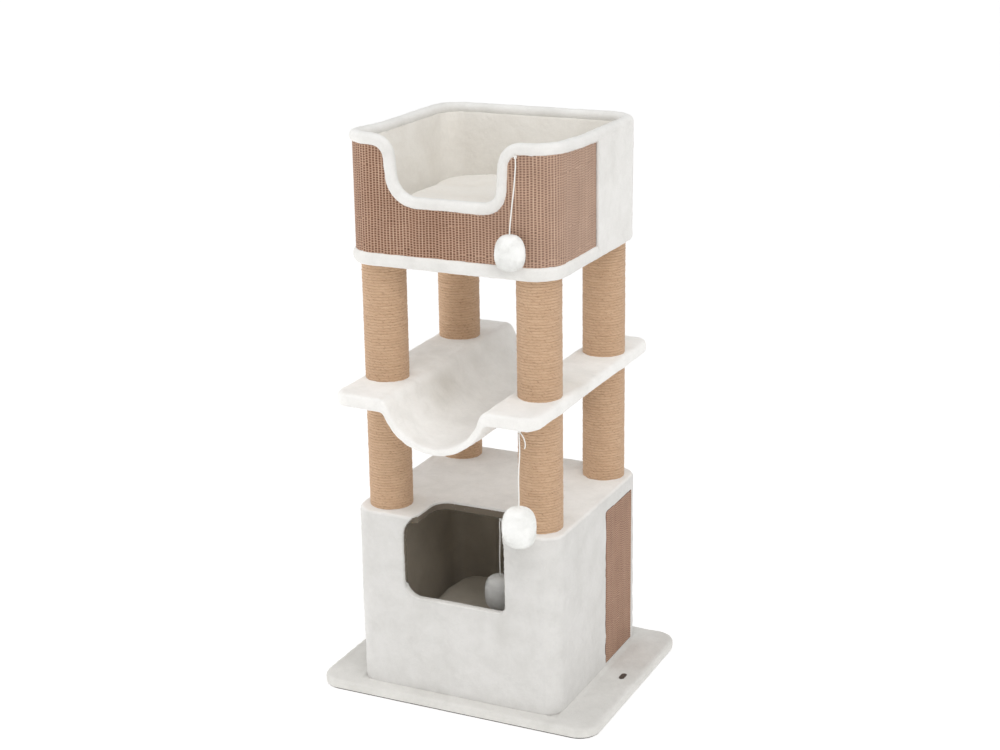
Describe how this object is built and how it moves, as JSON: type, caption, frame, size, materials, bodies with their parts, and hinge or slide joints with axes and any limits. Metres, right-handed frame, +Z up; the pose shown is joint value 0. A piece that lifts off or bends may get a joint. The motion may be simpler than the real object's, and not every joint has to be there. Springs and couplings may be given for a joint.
{
  "type": "cat tree",
  "caption": "Free-standing cat tree with a carpeted base, an enclosed cave, rope-wound posts, a trough-shaped lying platform, a padded top basket and hanging toys.",
  "frame": {"origin": "centre of the base plate on the ground", "axes": "+Z up, -Y towards the front with the cave's doorway and the basket's cut-out, +X to the right as seen from the front"},
  "size_m": [0.584, 0.575, 1.102],
  "materials": {
    "plush_white": "short soft pile",
    "jute_rope": "twisted natural rope, matt",
    "sisal_mat": "coarse woven mat, matt",
    "taupe_lining": "short pile lining",
    "taupe_cushion": "short pile cushion cover",
    "cream_cushion": "long soft pile",
    "chipboard": "raw pressed board",
    "card_tube": "wound card",
    "plug_plastic": "moulded",
    "zinc_steel": "zinc plated",
    "dark_felt": "pressed felt",
    "tag_dark": "plain moulded",
    "toy_string": "braided elastic",
    "toy_plush": "fluffy pile"
  },
  "bodies": {
    "frame": {"base_board": "chipboard", "base_plush": "plush_white", "base_underlay": "dark_felt", "edge_tag": "tag_dark", "cave_wall_front": "chipboard", "cave_wall_back": "chipboard", "cave_wall_left": "chipboard", "cave_wall_right": "chipboard", "cave_top_board": "chipboard", "cave_plush_cover": "plush_white", "cave_lining": "taupe_lining", "cave_sisal_panel": "sisal_mat", "cave_cushion": "taupe_cushion", "lower_rope_front_left": "jute_rope", "lower_rope_front_right": "jute_rope", "lower_rope_back_left": "jute_rope", "lower_rope_back_right": "jute_rope", "upper_rope_front_left": "jute_rope", "upper_rope_front_right": "jute_rope", "upper_rope_back_left": "jute_rope", "upper_rope_back_right": "jute_rope", "lower_tube_front_left": "card_tube", "lower_tube_front_right": "card_tube", "lower_tube_back_left": "card_tube", "lower_tube_back_right": "card_tube", "upper_tube_front_left": "card_tube", "upper_tube_front_right": "card_tube", "upper_tube_back_left": "card_tube", "upper_tube_back_right": "card_tube", "post_end_plugs": "plug_plastic", "post_studs": "zinc_steel", "post_bolts": "zinc_steel", "bolt_washers": "zinc_steel", "panel_screws": "zinc_steel", "platform_board_left": "chipboard", "platform_board_right": "chipboard", "platform_plush_left": "plush_white", "platform_plush_right": "plush_white", "hammock_sling": "plush_white", "basket_floor_board": "chipboard", "basket_wall_front": "chipboard", "basket_wall_back": "chipboard", "basket_wall_left": "chipboard", "basket_wall_right": "chipboard", "basket_outer_plush": "plush_white", "basket_lining": "plush_white", "basket_sisal_mat": "sisal_mat", "basket_rim_piping": "plush_white", "basket_floor_piping": "plush_white"},
    "basket_cushion": {"basket_cushion": "cream_cushion"},
    "basket_toy_link": {"basket_toy_knot": "toy_string"},
    "basket_toy": {"basket_toy_string": "toy_string", "basket_toy_pompom": "toy_plush"},
    "platform_toy_link": {"platform_toy_knot": "toy_string"},
    "platform_toy": {"platform_toy_string": "toy_string", "platform_toy_pompom": "toy_plush"},
    "cave_toy_link": {"cave_toy_knot": "toy_string"},
    "cave_toy": {"cave_toy_string": "toy_string", "cave_toy_pompom": "toy_plush"}
  },
  "joints": [
    {"name": "cushion_lift_out", "type": "slide", "parent": "frame", "child": "basket_cushion", "axis": [0, 0, 1], "range_m": [0, 0.24]},
    {"name": "basket_toy_sideways", "type": "hinge", "parent": "frame", "child": "basket_toy_link", "pos_m": [0.141, -0.2118, 1.074], "axis": [0, 1, 0], "range_deg": [-35, 40]},
    {"name": "basket_toy_outwards", "type": "hinge", "parent": "basket_toy_link", "child": "basket_toy", "pos_m": [0.141, -0.2118, 1.074], "axis": [-1, 0, 0], "range_deg": [0, 60]},
    {"name": "platform_toy_sideways", "type": "hinge", "parent": "frame", "child": "platform_toy_link", "pos_m": [0.167, -0.264, 0.6045], "axis": [0, 1, 0], "range_deg": [-45, 45]},
    {"name": "platform_toy_outwards", "type": "hinge", "parent": "platform_toy_link", "child": "platform_toy", "pos_m": [0.167, -0.264, 0.6045], "axis": [-1, 0, 0], "range_deg": [-10, 60]},
    {"name": "cave_toy_sideways", "type": "hinge", "parent": "frame", "child": "cave_toy_link", "pos_m": [0.046, -0.094, 0.3555], "axis": [0, 1, 0], "range_deg": [-45, 45]},
    {"name": "cave_toy_outwards", "type": "hinge", "parent": "cave_toy_link", "child": "cave_toy", "pos_m": [0.046, -0.094, 0.3555], "axis": [-1, 0, 0], "range_deg": [-40, 20]}
  ]
}
